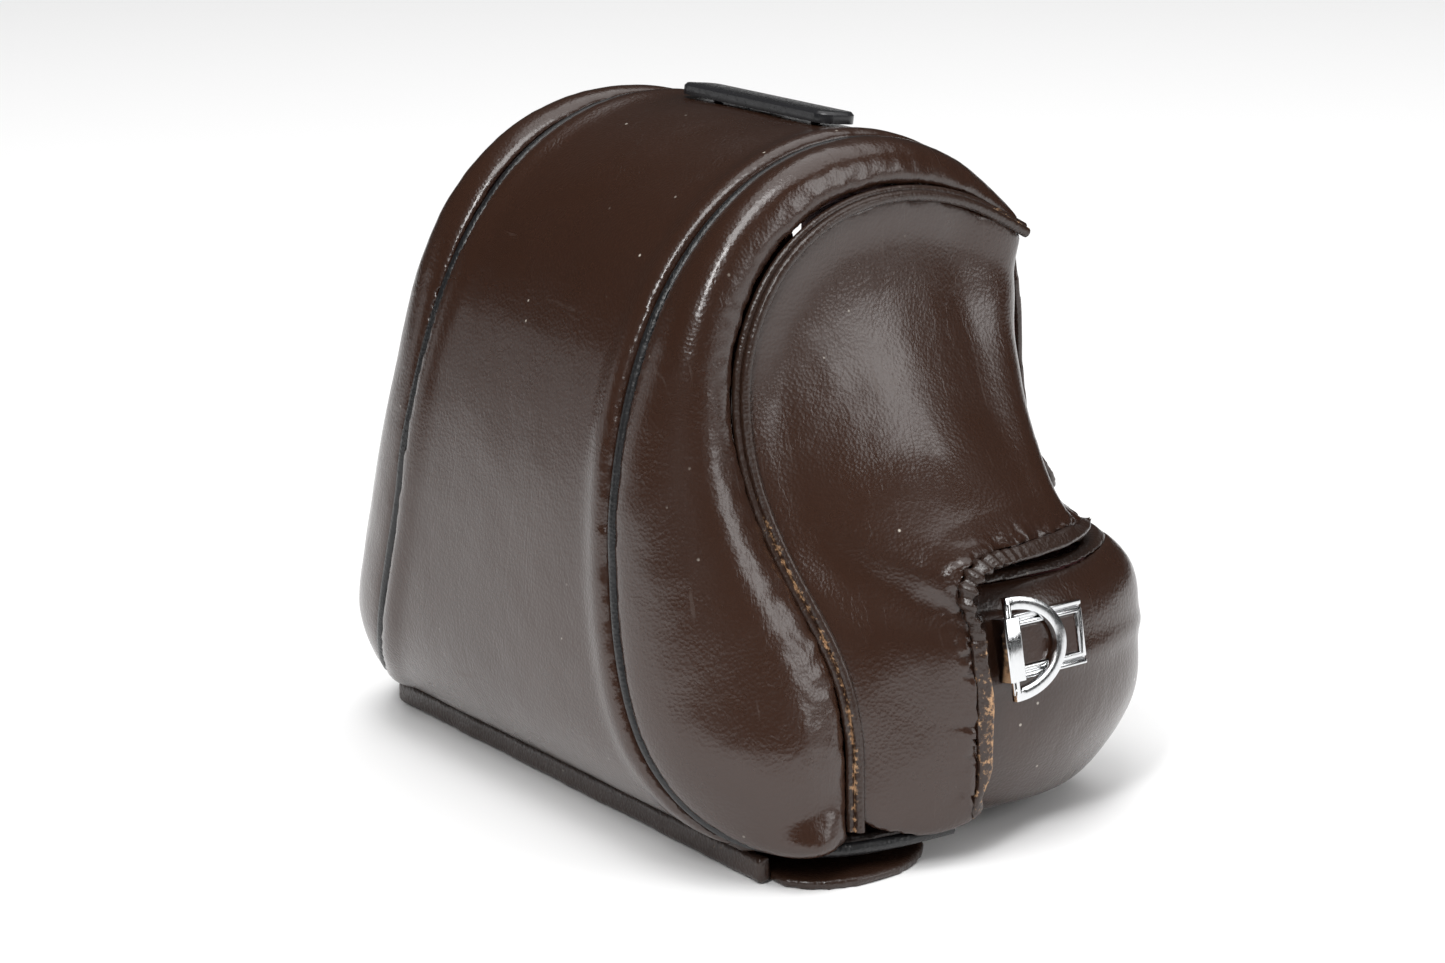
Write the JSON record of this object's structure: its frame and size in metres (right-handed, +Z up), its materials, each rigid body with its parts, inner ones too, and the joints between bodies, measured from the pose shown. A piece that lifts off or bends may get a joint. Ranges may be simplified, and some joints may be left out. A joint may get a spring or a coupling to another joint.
{
  "type": "leather camera case",
  "caption": "Hard leather ever-ready case for a 35 mm reflex camera: half case with strap rings and tripod screw, and a hooded nose cover that swings down.",
  "frame": {"origin": "on the table under the front of the half case's sole, midway between the ends", "axes": "+X to the right as the front is faced, -Y towards the front of the nose, +Z up"},
  "size_m": [0.1634, 0.1101, 0.1307],
  "materials": {
    "brown_leather": "glossy",
    "binding_leather": "satin, worn to tan",
    "black_piping": "satin",
    "lining_cloth": "velvet",
    "board": "matte",
    "sole_leather": "satin",
    "chrome": "polished",
    "badge_enamel": "gloss"
  },
  "bodies": {
    "half_case": {"half_case": "brown_leather", "half_case_lining": "lining_cloth", "half_case_binding": "binding_leather", "sole": "sole_leather", "screw_grommet": "chrome", "press_stud": "chrome", "strap_frame_left": "chrome", "strap_frame_right": "chrome", "strap_insert_left": "brown_leather", "strap_insert_right": "brown_leather", "strap_clip_left": "chrome", "strap_clip_right": "chrome", "strap_rivets_left": "chrome", "strap_rivets_right": "chrome"},
    "cover": {"badge": "badge_enamel", "base_flap": "brown_leather", "center_panel": "brown_leather", "cheek_lining_left": "lining_cloth", "cheek_lining_right": "lining_cloth", "cheek_panel_left": "brown_leather", "cheek_panel_right": "brown_leather", "flank_lining_left": "lining_cloth", "flank_lining_right": "lining_cloth", "flank_panel_left": "brown_leather", "flank_panel_right": "brown_leather", "floor_lining": "lining_cloth", "floor_panel": "brown_leather", "front_welt": "binding_leather", "nose_board": "board", "nose_lining": "lining_cloth", "piping_left": "black_piping", "piping_right": "black_piping", "rim_binding_left": "binding_leather", "rim_binding_right": "binding_leather", "shoulder_welt_left": "binding_leather", "shoulder_welt_right": "binding_leather"},
    "rear_flap": {"rear_flap": "brown_leather", "rear_flap_lining": "lining_cloth", "press_socket": "chrome", "press_cap": "chrome"},
    "d_ring_left": {"d_ring_left": "chrome"},
    "d_ring_right": {"d_ring_right": "chrome"},
    "screw_ring": {"screw_ring": "chrome"},
    "tripod_screw": {"tripod_screw": "chrome"}
  },
  "joints": [
    {"name": "cover_swing", "type": "hinge", "parent": "half_case", "child": "cover", "pos_m": [0, -0.002, 0], "axis": [1, 0, 0], "range_deg": [0, 95]},
    {"name": "rear_flap_swing", "type": "hinge", "parent": "cover", "child": "rear_flap", "pos_m": [0, 0.0422, 0.1095], "axis": [1, 0, 0], "range_deg": [0, 140]},
    {"name": "d_ring_swing_right", "type": "hinge", "parent": "half_case", "child": "d_ring_right", "pos_m": [0.07909, 0.0063, 0.04059], "axis": [0.2079, 0, -0.9781], "range_deg": [0, 135]},
    {"name": "d_ring_swing_left", "type": "hinge", "parent": "half_case", "child": "d_ring_left", "pos_m": [-0.07909, 0.0063, 0.04059], "axis": [0.2079, 0, 0.9781], "range_deg": [0, 135]},
    {"name": "screw_lift", "type": "slide", "parent": "half_case", "child": "screw_ring", "axis": [0, 0, 1], "range_m": [0, 0.0011]},
    {"name": "screw_turn", "type": "hinge", "parent": "screw_ring", "child": "tripod_screw", "pos_m": [0, 0.01675, 0.008], "axis": [0, 0, 1], "continuous": true}
  ],
  "couplings": [
    {"joint": "rear_flap_swing", "follows": "cover_swing", "ratio": 1.4737}
  ]
}
